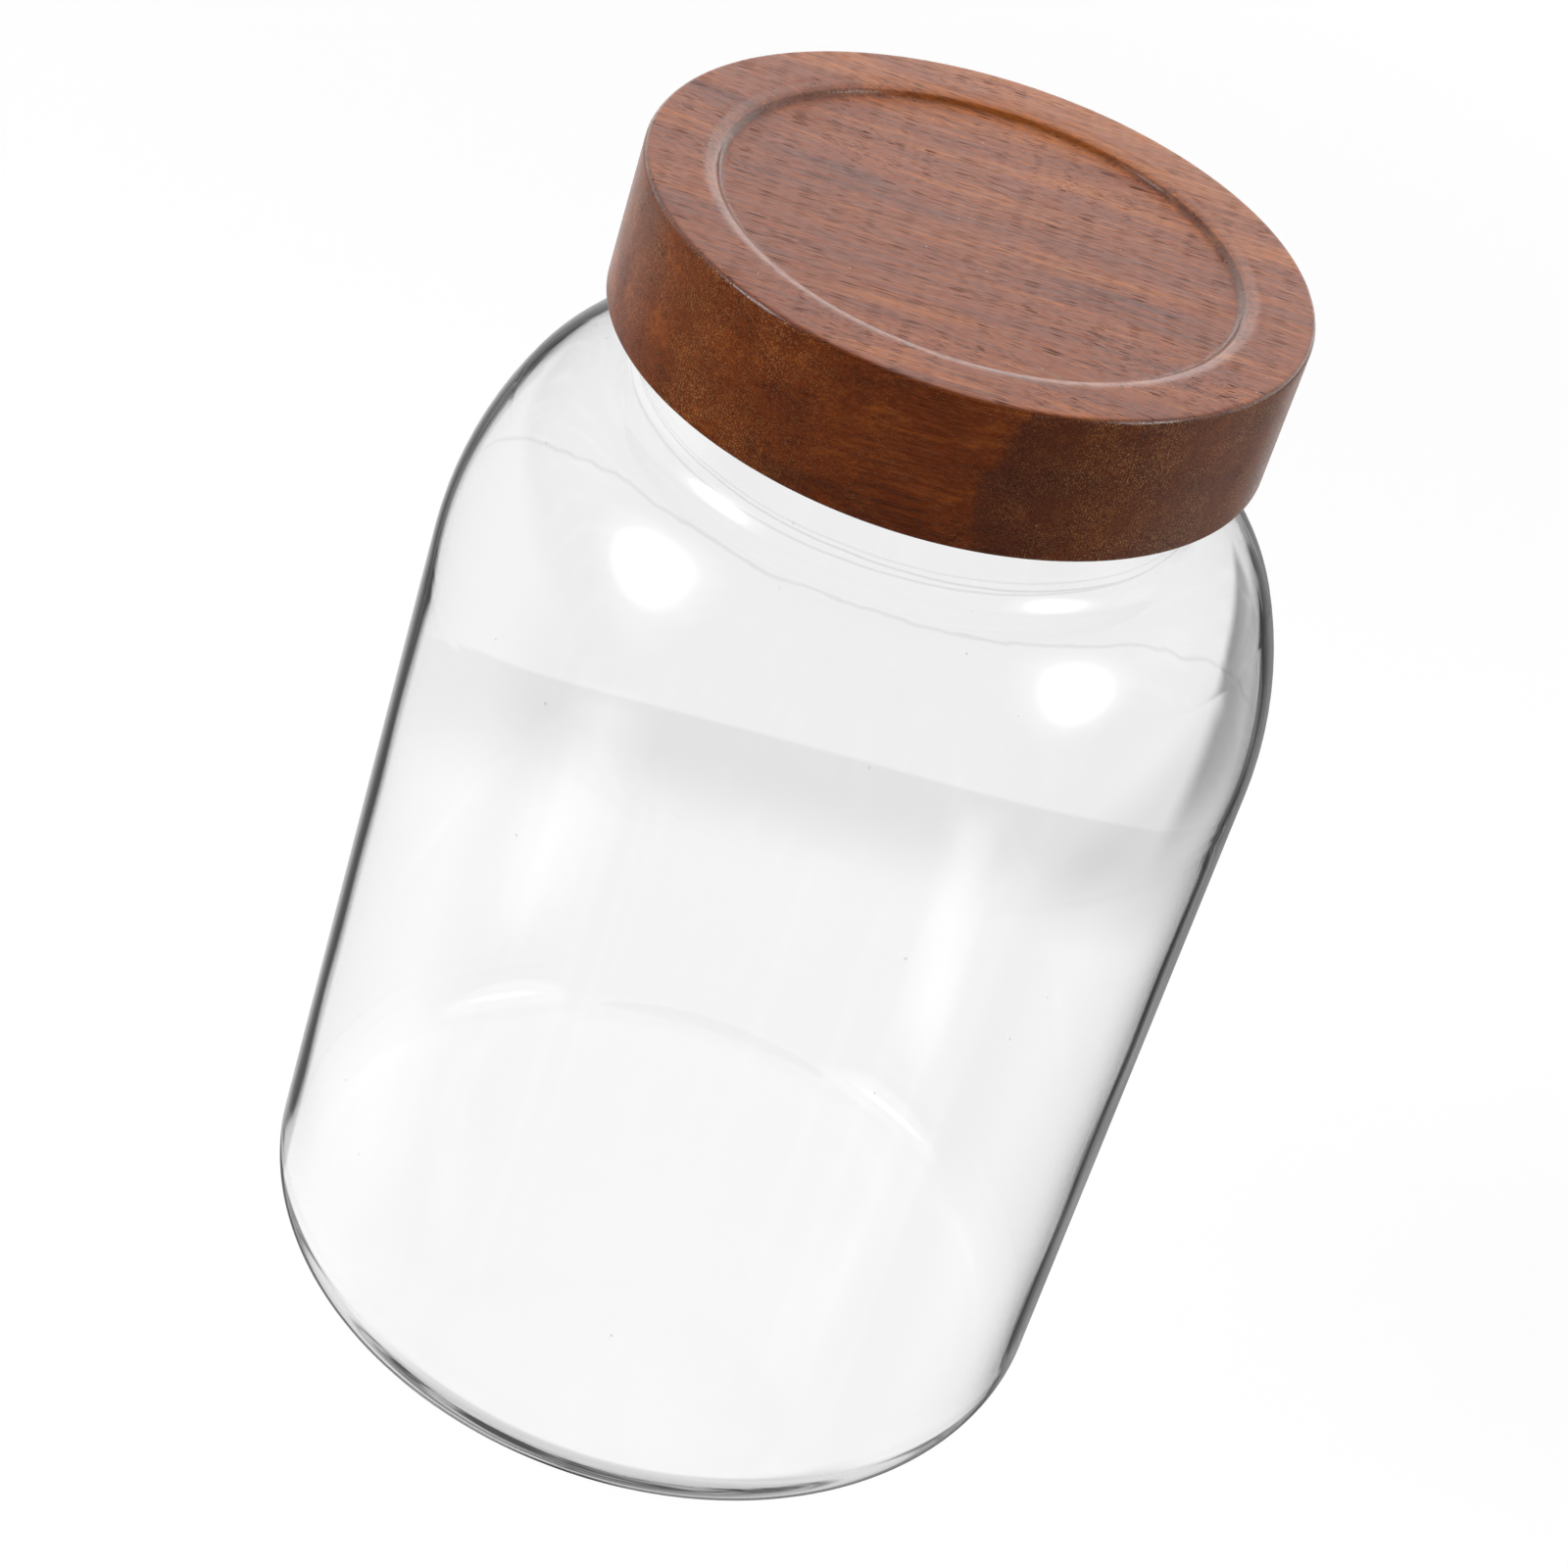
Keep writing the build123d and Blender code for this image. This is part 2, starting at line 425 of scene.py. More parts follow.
def lathe(name, points, columns, shape=None, closed=False):
    """Turn a profile about the jar's axis into a mesh, with shape moving its points if it is given."""
    rows = np.array(points)
    angle = np.arange(columns) * TURN / columns
    radius = np.repeat(rows[:, :1], columns, axis=1)
    height = np.repeat(rows[:, 1:], columns, axis=1)
    if shape:
        radius, height = shape(radius, height, np.tile(angle, (len(rows), 1)))
    places = np.stack([radius * np.cos(angle), radius * np.sin(angle), height], axis=-1)
    vertices = []
    index = []
    for row in range(len(rows)):
        if np.isclose(rows[row, 0], 0):
            index.append([len(vertices)] * columns)
            vertices.append((0, 0, height[row].mean()))
        else:
            index.append(list(range(len(vertices), len(vertices) + columns)))
            vertices.extend(map(tuple, places[row]))
    pairs = [(row, row + 1) for row in range(len(rows) - 1)]
    if closed:
        pairs.append((len(rows) - 1, 0))
    faces = []
    for low, high in pairs:
        for column in range(columns):
            after = (column + 1) % columns
            corners = [index[low][column], index[low][after], index[high][after], index[high][column]]
            faces.append(list(dict.fromkeys(corners)))
    mesh = bpy.data.meshes.new(name)
    mesh.from_pydata(vertices, [], faces)
    mesh.shade_smooth()
    mesh.update()
    made = bpy.data.objects.new(name, mesh)
    bpy.context.scene.collection.objects.link(made)
    return made


def bead_reach(height, angle, start_height, start_angle, turns, bead):
    """How far a round bead on a helix reaches at each point from the line of its centre, or -1 off it."""
    reach = np.full(height.shape, -1.0)
    for lap in range(-1, int(turns) + 2):
        along = (angle - start_angle) / TURN + lap
        over = np.maximum(0, np.maximum(-along, along - turns))
        centre = start_height + thread_lead * np.clip(along, 0, turns)
        beside = over * TURN * neck_radius
        inside = bead**2 - (height - centre) ** 2 - beside**2
        reach = np.where(inside > 0, np.maximum(reach, np.sqrt(np.maximum(inside, 0))), reach)
    return reach


def smooth_max(first, second, blend_width):
    """The greater of two, rounded where they meet."""
    share = np.clip(0.5 + 0.5 * (first - second) / blend_width, 0, 1)
    return second * (1 - share) + first * share + blend_width * share * (1 - share)


def waves(height, angle):
    """The slight unevenness of the inner wall of pressed glass, in metres."""
    lobes = sum(np.sin(count * angle + climb * height + phase) for count, climb, phase in wave_lobes)
    return wave_height * lobes * np.sin(wave_climb * height + wave_sway * np.sin(angle))


def glass_shape(radius, height, angle):
    """Make the inner wall wave a little, and raise the thread round the outside of the neck."""
    crest = height[:, 0].argmax()
    inner = np.arange(len(radius))[:, None] > crest
    below_neck = np.clip((rim_top - neck_height - height) / wave_fade, 0, 1)
    above_base = np.clip((height - 2 * base_thickness) / wave_fade, 0, 1)
    radius = radius + np.where(inner, waves(height, angle) * below_neck * above_base, 0)
    reach = bead_reach(height, angle, neck_thread_start, 0, neck_thread_turns, neck_thread_round)
    bead = np.where(reach > 0, neck_thread_centre + reach, 0)
    threaded = (np.abs(radius - neck_radius) < wall_tolerance) & (bead > 0)
    return np.where(threaded, smooth_max(bead, radius, thread_blend), radius), height


def glass_outline():
    """The jar's wall, from the middle of its base up the outside, over the rim and down the inside."""
    punt = body_radius - heel_radius - standing_ring
    dome = arc_by_rise(punt, punt_rise)
    lean = math.degrees(math.asin(punt / dome))
    low, full = math.radians(lower_shoulder_turn), math.radians(full_shoulder_turn)
    reach = body_radius - neck_radius
    lower = lower_shoulder_share * reach
    rest = reach - lower * (1 - math.cos(low)) - neck_fillet * (1 - math.cos(full))
    upper = rest / (math.cos(low) - math.cos(full))
    upper_turn = full_shoulder_turn - lower_shoulder_turn
    thread_zone = neck_height - rim_round - neck_below_thread
    rim_flat = glass_wall - 2 * rim_round
    pen = Outline(0, punt_rise, 0).turn(dome, -lean, steps=8).face(0).line(standing_ring, steps=2)
    pen.turn(heel_radius, 90, steps=26).line(straight_wall, steps=16)
    pen.turn(lower, lower_shoulder_turn, steps=10).turn(upper, upper_turn, steps=16)
    pen.turn(neck_fillet, -full_shoulder_turn, steps=18)
    pen.line(neck_below_thread, steps=4).line(thread_zone, steps=56)
    pen.turn(rim_round, 90, steps=5).line(rim_flat).turn(rim_round, 90, steps=5)
    pen.line(neck_height - rim_round, steps=6).turn(neck_fillet + glass_wall, full_shoulder_turn, steps=20)
    pen.turn(upper - glass_wall, -upper_turn, steps=16)
    pen.turn(lower - glass_wall, -lower_shoulder_turn, steps=10)
    pen.line(straight_wall, steps=40).turn(heel_radius - glass_wall, -90, steps=24)
    pen.line(standing_ring, steps=2).face(180 - lean).turn(dome, lean, steps=8)
    return pen.points


def mark_inside(piece):
    """Give each point of the glass a number that is 1 on its inner wall, for the material to read."""
    heights = [vertex.co.z for vertex in piece.data.vertices]
    crest = heights.index(max(heights))
    inside = piece.data.attributes.new("inside", "FLOAT", "POINT")
    inside.data.foreach_set("value", [float(number > crest) for number in range(len(heights))])


def ring_outline():
    """The sealing ring's section, with its edges rounded."""
    width, depth = ring_outer - ring_inner, ring_top - rim_top
    pen = Outline(ring_inner + ring_edge_round, rim_top, 0)
    for side in (width, depth, width, depth):
        pen.line(side - 2 * ring_edge_round, steps=4).turn(ring_edge_round, 90, steps=5)
    return pen.points[:-1]


def liner_outline():
    """The liner, from the middle of its underside by its stop and groove, down the bore and up outside."""
    stop = ring_inner - ring_side_gap
    groove_reach = liner_bore + ring_groove_depth - stop
    groove_drop = ring_top - rim_top + ring_groove_gap
    bore_depth = rim_top - ring_groove_gap - liner_bottom
    first_glue_groove = ring_top - (glue_groove_count - 1) * glue_groove_pitch - glue_groove_width
    pen = Outline(0, ring_top, 0).line(stop - ring_stop_width, steps=2)
    pen.sides((-90, ring_stop_height), (0, ring_stop_width), (90, ring_stop_height))
    pen.sides((0, groove_reach), (-90, groove_drop), (180, ring_groove_depth))
    pen.face(-90).line(bore_depth, steps=60)
    pen.sides((0, liner_radius - liner_bore), (90, first_glue_groove - liner_bottom))
    for number in range(glue_groove_count):
        last = number == glue_groove_count - 1
        wall = liner_top - ring_top if last else glue_groove_pitch - glue_groove_width
        pen.sides((180, glue_groove_depth), (90, glue_groove_width), (0, glue_groove_depth), (90, wall))
    pen.sides((180, liner_radius))
    return pen.points


def liner_shape(radius, height, angle):
    """Raise the thread inside the liner's bore, just under the neck's thread."""
    centre = liner_bore - liner_thread_height + liner_thread_round
    spacing = neck_thread_round + liner_thread_round + thread_flank_gap
    offset = math.sqrt(spacing**2 - (centre - neck_thread_centre) ** 2)
    start = liner_bottom + liner_thread_round
    start_angle = TURN * (start + offset - neck_thread_start) / thread_lead
    reach = bead_reach(height, angle, start, start_angle, liner_thread_turns, liner_thread_round)
    bead = np.where(reach > 0, reach - centre, -1)
    below_rim = height < rim_top - liner_thread_drop
    threaded = (np.abs(radius - liner_bore) < wall_tolerance) & below_rim & (reach > 0)
    return np.where(threaded, -smooth_max(bead, -radius, thread_blend), radius), height


def lid_outline():
    """The lid, from the middle of its bore's ceiling, down the bore, up the outside and over the top."""
    bore = liner_radius + lid_bore_gap
    ease = math.radians(recess_ease_turn)
    drop = recess_depth - recess_ease * (1 - math.cos(ease))
    lip_rise = recess_lip_round * math.cos(ease) + recess_cove - drop
    slope = math.degrees(math.acos(lip_rise / (recess_lip_round + recess_cove)))
    pen = Outline(0, liner_top, 0).line(bore, steps=6).face(-90).line(liner_top - lid_bottom, steps=8)
    pen.face(0).line(lid_radius - bore - lid_bottom_round, steps=6).turn(lid_bottom_round, 90, steps=6)
    pen.line(lid_top - lid_bottom - lid_bottom_round - lid_top_round, steps=24)
    pen.turn(lid_top_round, 90, steps=8)
    pen.line(lid_rim_width - lid_top_round - recess_ease * math.sin(ease), steps=10)
    pen.turn(recess_ease, recess_ease_turn, steps=8)
    pen.turn(recess_lip_round, slope - recess_ease_turn, steps=10).turn(recess_cove, -slope, steps=10)
    pen.line(pen.points[-1][0], steps=40)
    return pen.points


def add(tree, kind, inputs=None, **settings):
    """A new node with its settings made, and its inputs set to a value or linked to a socket."""
    made = tree.nodes.new(kind)
    for name, value in settings.items():
        setattr(made, name, value)
    for socket, value in (inputs or {}).items():
        if isinstance(value, bpy.types.NodeSocket):
            tree.links.new(value, made.inputs[socket])
        else:
            made.inputs[socket].default_value = value
    return made


def maths(tree, operation, first, second=0.0, third=0.0, clamp=False):
    """One step of arithmetic."""
    values = {0: first, 1: second, 2: third}
    return add(tree, "ShaderNodeMath", values, operation=operation, use_clamp=clamp).outputs[0]


def chain(tree, operation, values):
    """Several values joined by one operation."""
    result = values[0]
    for value in values[1:]:
        result = maths(tree, operation, result, value)
    return result


def product(tree, *values):
    """Several values multiplied together."""
    return chain(tree, "MULTIPLY", values)


def total(tree, *values):
    """Several values added together."""
    return chain(tree, "ADD", values)


def greatest(tree, *values):
    """The greatest of several values."""
    return chain(tree, "MAXIMUM", values)


def minus(tree, first, second, clamp=False):
    """One value less another, and not below 0 if it is clamped."""
    return maths(tree, "SUBTRACT", first, second, clamp=clamp)


def absolute(tree, value):
    """A value without its sign."""
    return maths(tree, "ABSOLUTE", value)


def dimmed(tree, level, share):
    """A level with a share of it taken away."""
    return product(tree, level, minus(tree, 1.0, share))


def above(tree, value, limit):
    """1 where a value is above a limit, and 0 elsewhere."""
    return maths(tree, "GREATER_THAN", value, limit)


def ramp(tree, value, low, high, to_low=0.0, to_high=1.0):
    """A smooth step of a value from one level to another."""
    values = {"Value": value, "From Min": low, "From Max": high, "To Min": to_low, "To Max": to_high}
    return add(tree, "ShaderNodeMapRange", values, interpolation_type="SMOOTHSTEP").outputs[0]


def band(tree, value, into, out):
    """1 inside a range of a value and 0 outside it, with a ramp into the range and one out of it."""
    return product(tree, ramp(tree, value, *into), ramp(tree, value, *out))


def thin_line(tree, offset, width):
    """1 where an offset is zero, falling to 0 at a width on each side."""
    return ramp(tree, absolute(tree, offset), width, 0.0)


def blend(tree, share, first, second):
    """A number between two others."""
    return add(tree, "ShaderNodeMix", {0: share, 2: first, 3: second}).outputs[0]


def mix(tree, share, first, second, blend_type="MIX"):
    """A colour mixed from two others."""
    made = add(tree, "ShaderNodeMix", {0: share}, data_type="RGBA", blend_type=blend_type)
    for socket, colour in ((6, first), (7, second)):
        if isinstance(colour, bpy.types.NodeSocket):
            tree.links.new(colour, made.inputs[socket])
        else:
            made.inputs[socket].default_value = (*colour, 1)
    return made.outputs[2]


def parts(tree, vector):
    """The X, Y and Z of a vector."""
    split = add(tree, "ShaderNodeSeparateXYZ", {0: vector})
    return [split.outputs[axis] for axis in "XYZ"]


def flat(tree, across, along):
    """A vector of an X and a Y."""
    return add(tree, "ShaderNodeCombineXYZ", {0: across, 1: along}).outputs[0]


def vectors(tree, operation, first, second):
    """One step of arithmetic on two vectors, axis by axis."""
    return add(tree, "ShaderNodeVectorMath", {0: first, 1: second}, operation=operation).outputs["Vector"]


def dot(tree, first, second):
    """The dot product of two vectors."""
    return add(tree, "ShaderNodeVectorMath", {0: first, 1: second}, operation="DOT_PRODUCT").outputs["Value"]


def vector_length(tree, vector):
    """How long a vector is."""
    return add(tree, "ShaderNodeVectorMath", {0: vector}, operation="LENGTH").outputs["Value"]


def object_place(tree):
    """Places on the piece in millimetres, which move with it."""
    place = add(tree, "ShaderNodeTexCoord").outputs["Object"]
    return add(tree, "ShaderNodeVectorMath", {0: place, "Scale": 1 / MM}, operation="SCALE").outputs[0]


def stretch(tree, place, scale):
    """Places times a scale, which gives a texture on them that many features a unit."""
    return vectors(tree, "MULTIPLY", place, scale if isinstance(scale, tuple) else (scale,) * 3)


def noise(tree, place, scale, detail=2.0, roughness=0.5, output="Fac"):
    """Noise between 0 and 1, as a number or as a colour."""
    values = {"Vector": stretch(tree, place, scale), "Scale": 1.0, "Detail": detail, "Roughness": roughness}
    return add(tree, "ShaderNodeTexNoise", values).outputs[output]


def cells(tree, place, scale):
    """Distance to the nearest of scattered points, and that point's own random number."""
    made = add(tree, "ShaderNodeTexVoronoi", {"Vector": stretch(tree, place, scale), "Scale": 1.0})
    pick = add(tree, "ShaderNodeSeparateColor", {0: made.outputs["Color"]}).outputs[0]
    return made.outputs["Distance"], pick


def dots(tree, place, scale, edge, kept):
    """Scattered dots, in the cells whose random number is above kept: 1 on a dot, 0 beside it."""
    far, pick = cells(tree, place, scale)
    return product(tree, ramp(tree, far, *edge), above(tree, pick, kept))


def bump(tree, height, strength, distance):
    """A normal that follows a height."""
    values = {"Strength": strength, "Distance": distance, "Height": height}
    return add(tree, "ShaderNodeBump", values).outputs[0]


def blank(name):
    """A new material and its node tree, which is empty."""
    material = bpy.data.materials.new(name)
    material.use_nodes = True
    material.node_tree.nodes.clear()
    return material, material.node_tree


def finish_with(tree, shader):
    """Make a shader the surface of the material."""
    add(tree, "ShaderNodeOutputMaterial", {"Surface": shader.outputs[0]})


def painted_reflection_line(tree, place, wander):
    """A painted reflection: a faint dark line across the front of the shoulder."""
    across, along, height = parts(tree, place)
    bow = maths(tree, "DIVIDE", product(tree, across, across), reflection_line_bow)
    front = total(tree, along, minus(tree, reflection_line_front, bow))
    fold = thin_line(tree, total(tree, front, wander), reflection_line_width)
    return product(tree, fold, band(tree, height, *reflection_line_levels), reflection_line_strength)


def painted_fillet_line(tree, place, wander, level, sway, phase, strength):
    """Painted shade: a faint dark ring round the foot of the neck, where its fillet shows, a little higher
    on one side.
    """
    across, along, height = parts(tree, place)
    angle = total(tree, maths(tree, "ARCTAN2", along, across), phase)
    course = total(tree, product(tree, maths(tree, "COSINE", angle), sway), level)
    offset = total(tree, minus(tree, height, course), product(tree, wander, fillet_line_wander))
    return product(tree, thin_line(tree, offset, fillet_line_width), strength)


def painted_glass_lines(tree, place):
    """Faint dark lines of painted reflection and painted shade in the glass."""
    wander = product(tree, minus(tree, noise(tree, place, **painted_line_texture), 0.5), painted_line_wander)
    rings = [painted_fillet_line(tree, place, wander, **ring) for ring in painted_fillet_lines]
    return greatest(tree, painted_reflection_line(tree, place, wander), *rings)


def glass_material():
    """Clear colourless glass that lets the lamps through to what it holds and stands on."""
    material, tree = blank("clear_glass")
    place = object_place(tree)
    inside = add(tree, "ShaderNodeAttribute", attribute_name="inside").outputs["Fac"]
    # Painted reflection and painted shade: dark lines on the inner wall only
    painted_lines = product(tree, painted_glass_lines(tree, place), inside)
    seeds = product(tree, dots(tree, place, **glass_seeds), seed_strength)
    glass = add(tree, "ShaderNodeBsdfPrincipled", {
        "Base Color": mix(tree, greatest(tree, painted_lines, seeds), (1, 1, 1), (0, 0, 0)),
        "Roughness": 0.0,
        "IOR": glass_ior,
        "Transmission Weight": 1.0,
    })
    clear = add(tree, "ShaderNodeBsdfTransparent", {"Color": glass_shadow})
    path = add(tree, "ShaderNodeLightPath")
    lets_through = greatest(tree, path.outputs["Is Shadow Ray"], path.outputs["Is Diffuse Ray"])
    shaders = {0: lets_through, 1: glass.outputs[0], 2: clear.outputs[0]}
    finish_with(tree, add(tree, "ShaderNodeMixShader", shaders))
    return material


def lid_regions(tree, place):
    """Shares of the lid's surface: upright sides, end grain, rounded edges, slopes and the dish's lip."""
    facing = add(tree, "ShaderNodeTexCoord").outputs["Normal"]
    end, _, lift = (absolute(tree, part) for part in parts(tree, facing))
    across, depth, height = parts(tree, place)
    outer = ramp(tree, vector_length(tree, flat(tree, across, depth)), *outer_rim)
    off_lip = greatest(tree, outer, ramp(tree, height, *dish_levels))
    return {
        "upright": ramp(tree, lift, *upright_lift),
        "end_grain": ramp(tree, end, *end_grain_turn),
        "edge": band(tree, lift, *edge_lift),
        "slope": product(tree, band(tree, lift, *slope_lift), off_lip),
        "lip": dimmed(tree, ramp(tree, lift, *lip_lift), off_lip),
    }


def along_grain(tree, place):
    """Places bent a little across X, so that the grain wanders as it runs along X."""
    drift = noise(tree, place, **grain_drift, output="Color")
    drift = vectors(tree, "SUBTRACT", drift, (0.5, 0.5, 0.5))
    return vectors(tree, "ADD", place, stretch(tree, drift, grain_sway))


def wood_bands(tree, place, grain):
    """Red-brown wood in bands and fine streaks, lighter to the back."""
    zone = product(tree, noise(tree, grain, **wood_zones), zone_share)
    stripe = product(tree, noise(tree, grain, **wood_stripes), stripe_share)
    tone = total(tree, zone, stripe, ramp(tree, parts(tree, place)[1], *back_lift))
    colour = mix(tree, ramp(tree, tone, *dark_to_middle), wood_dark, wood_middle)
    return mix(tree, ramp(tree, tone, *middle_to_light), colour, wood_light)


def heartwood(tree, place, upright):
    """The share of dark heartwood, on the right of the lid's side."""
    across, _, height = parts(tree, place)
    bow = product(tree, absolute(tree, minus(tree, height, heart_level)), heart_bow)
    edge = total(tree, bow, product(tree, noise(tree, place, **heart_texture), heart_ragged))
    return product(tree, ramp(tree, minus(tree, across, edge), *heart_edge), upright, heart_share)


def wood_colour(tree, place, grain, fibre, regions):
    """The wood's bands and fibres, with painted shade that makes its sides darker and browner and its slopes
    darker, and with its heartwood.
    """
    shade = ramp(tree, fibre, *fibre_shade)
    shade = add(tree, "ShaderNodeCombineColor", {0: shade, 1: shade, 2: shade}).outputs[0]
    colour = mix(tree, 1.0, wood_bands(tree, place, grain), shade, "MULTIPLY")
    # Painted shade on the upright sides
    colour = mix(tree, regions["upright"], colour, side_shade_tint, "MULTIPLY")
    # Painted shade in the dish's cove and on the rounded edges
    colour = mix(tree, product(tree, regions["slope"], slope_shade), colour, slope_shade_tone)
    return mix(tree, heartwood(tree, place, regions["upright"]), colour, wood_heart)


def wood_pores(tree, grain, scale, kept, largest, strength):
    """Open pores as thin dashes along the grain, crowded in some bands: strength in a pore, 0 beside it."""
    far, pick = cells(tree, grain, scale)
    crowd = noise(tree, grain, **pore_crowds)
    crowd = ramp(tree, crowd, *noise_range, pore_least * largest, largest)
    reach = product(tree, ramp(tree, pick, kept, kept + pore_onset), crowd)
    return product(tree, ramp(tree, minus(tree, far, reach), *pore_edge), strength)


def wood_specks(tree, place, grain, regions):
    """The share of golden specks on the sides, thickest where the end grain shows."""
    far, pick = cells(tree, grain, speck_scale)
    speck = product(tree, ramp(tree, far, *speck_edge), ramp(tree, pick, *speck_pick))
    crowd = ramp(tree, noise(tree, place, **speck_crowds), *speck_crowding)
    end_grain = ramp(tree, regions["end_grain"], *speck_end_grain)
    return product(tree, speck, regions["upright"], crowd, end_grain)


def marked_wood(tree, place, grain, colour, pore, regions):
    """The wood's colour with its pores, specks and dust on it."""
    pore = dimmed(tree, pore, product(tree, regions["upright"], pore_lost_upright))
    colour = mix(tree, product(tree, pore, pore_share), colour, pore_tone)
    colour = mix(tree, wood_specks(tree, place, grain, regions), colour, speck_tone)
    return mix(tree, dots(tree, place, **wood_dust), colour, wood_dust_tone)


def wood_roughness(tree, fibre, pore, regions):
    """Satin wood, rougher in its pores and smoother on its rounded edges and its lip."""
    rough = total(tree, ramp(tree, fibre, *fibre_roughness), product(tree, pore, pore_roughness))
    rough = blend(tree, regions["edge"], rough, edge_roughness)
    return blend(tree, regions["lip"], rough, lip_roughness)


def wood_gloss(tree, grain, pore, regions):
    """How strongly the wood's oil reflects: in fine streaks, less in the pores and more on the lip."""
    gloss = ramp(tree, noise(tree, grain, **gloss_streaks), *noise_range, *gloss_levels)
    gloss = dimmed(tree, gloss, product(tree, pore, gloss_lost_in_pores))
    return total(tree, gloss, product(tree, regions["lip"], lip_gloss))


def wood_material():
    """Oiled dark hardwood: its pores show as dashes on the face and as specks on the end grain."""
    material, tree = blank("stained_wood")
    place = object_place(tree)
    grain = along_grain(tree, place)
    regions = lid_regions(tree, place)
    fibre = noise(tree, grain, **wood_fibres)
    pore = greatest(tree, *(wood_pores(tree, grain, **kind) for kind in pore_kinds))
    colour = wood_colour(tree, place, grain, fibre, regions)
    finish_with(tree, add(tree, "ShaderNodeBsdfPrincipled", {
        "Base Color": marked_wood(tree, place, grain, colour, pore, regions),
        "Roughness": wood_roughness(tree, fibre, pore, regions),
        "IOR": wood_ior,
        "Specular IOR Level": wood_gloss(tree, grain, pore, regions),
        "Normal": bump(tree, minus(tree, product(tree, fibre, fibre_height), pore), **wood_bump),
    }))
    return material


def plastic_colour(tree, place, look):
    """A pale tone and its shade in soft clouds, with small specks."""
    cloud = ramp(tree, noise(tree, place, **look["clouds"]), *noise_range)
    speck = product(tree, dots(tree, place, **look["specks"]), look["speck_share"])
    return mix(tree, speck, mix(tree, cloud, look["shade"], look["tone"]), look["speck_tone"])


def liner_material():
    """Moulded off-white plastic: slightly cloudy, with faint tool rings and a fine satin grain."""
    material, tree = blank("liner_plastic")
    place = object_place(tree)
    grain = noise(tree, place, **liner_grain)
    rings = noise(tree, place, **liner_tool_rings)
    finish_with(tree, add(tree, "ShaderNodeBsdfPrincipled", {
        "Base Color": plastic_colour(tree, place, liner_look),
        "Roughness": ramp(tree, grain, *noise_range, *liner_roughness),
        "IOR": liner_ior,
        "Normal": bump(tree, total(tree, product(tree, grain, liner_grain_height), rings), **liner_bump),
    }))
    return material


def ring_material():
    """Milky silicone rubber: matt, faintly mottled, with the odd speck of dust on it."""
    material, tree = blank("silicone")
    place = object_place(tree)
    skin = noise(tree, place, **ring_skin)
    finish_with(tree, add(tree, "ShaderNodeBsdfPrincipled", {
        "Base Color": plastic_colour(tree, place, ring_look),
        "Roughness": ramp(tree, skin, *noise_range, *ring_roughness),
        "IOR": ring_ior,
        "Normal": bump(tree, skin, **ring_bump),
    }))
    return material


def met(tree, kind, count=1):
    """1 for rays that have met a Diffuse, Glossy or Transmission surface at least so many times."""
    depth = add(tree, "ShaderNodeLightPath").outputs[kind + " Depth"]
    return above(tree, depth, count - 0.5)


def sight(tree):
    """Shares of the rays that come here: plain, mirrored sharply or softly, and led round in glass."""
    mirrored = met(tree, "Glossy")
    unscattered = minus(tree, 1.0, met(tree, "Diffuse"))
    led_round = product(tree, mirrored, met(tree, "Transmission"), unscattered)
    reflected = product(tree, minus(tree, mirrored, led_round, clamp=True), unscattered)
    soft = dimmed(tree, reflected, add(tree, "ShaderNodeLightPath").outputs["Is Singular Ray"])
    plain = dimmed(tree, unscattered, mirrored)
    return plain, minus(tree, reflected, soft), soft, led_round


def floor_base_and_shade_band(tree, back, reach):
    """How bright the floor is through glass: pale under the jar, grey in a band of painted shade, and white
    beyond.
    """
    near = ramp(tree, reach, *base_reach, *base_light)
    level = blend(tree, ramp(tree, back, *shade_band_start), near, shade_band_tone)
    return total(tree, level, ramp(tree, back, *shade_band_end, 0.0, beyond_shade_band - shade_band_tone))


def painted_lamp_reflections(tree, across, along):
    """Painted reflections of the lamps in the glass: two pale streaks that run back over the band of painted
    shade, one for each lamp.
    """
    lines = [thin_line(tree, minus(tree, across, streak["middle"]), streak["width"]) for streak in streaks]
    return product(tree, total(tree, *lines), band(tree, along, *streak_run), streak_light)


def side_shadow(tree, place, along):
    """The share of its light that the floor loses on the right, behind the jar."""
    side = ramp(tree, dot(tree, place, (1, -side_slant, 0)), *side_start)
    return product(tree, side, band(tree, along, *side_run), side_shade)


def with_card(tree, level, place, back, reach):
    """The floor with a narrow grey card on it, which gives the jar's right shoulder its grey."""
    side = dot(tree, place, (1, -card_slant, 0))
    ends = product(tree, ramp(tree, back, *card_start), ramp(tree, reach, *card_end))
    share = product(tree, band(tree, side, *card_sides), ends)
    return blend(tree, share, level, ramp(tree, side, *card_tones))


def heel_shadow(tree, back, reach):
    """The share of its light that the floor loses under the front of the heel."""
    return product(tree, band(tree, reach, *heel_band), ramp(tree, back, *heel_front), heel_shade)


def floor_through_glass(tree, place, reach):
    """How bright the floor is where it is seen through glass."""
    across, along, _ = parts(tree, place)
    back = dot(tree, place, (-back_slant, 1, 0))
    level = total(tree, floor_base_and_shade_band(tree, back, reach), painted_lamp_reflections(tree, across, along))
    level = dimmed(tree, level, side_shadow(tree, place, along))
    level = with_card(tree, level, place, back, reach)
    return dimmed(tree, level, heel_shadow(tree, back, reach))


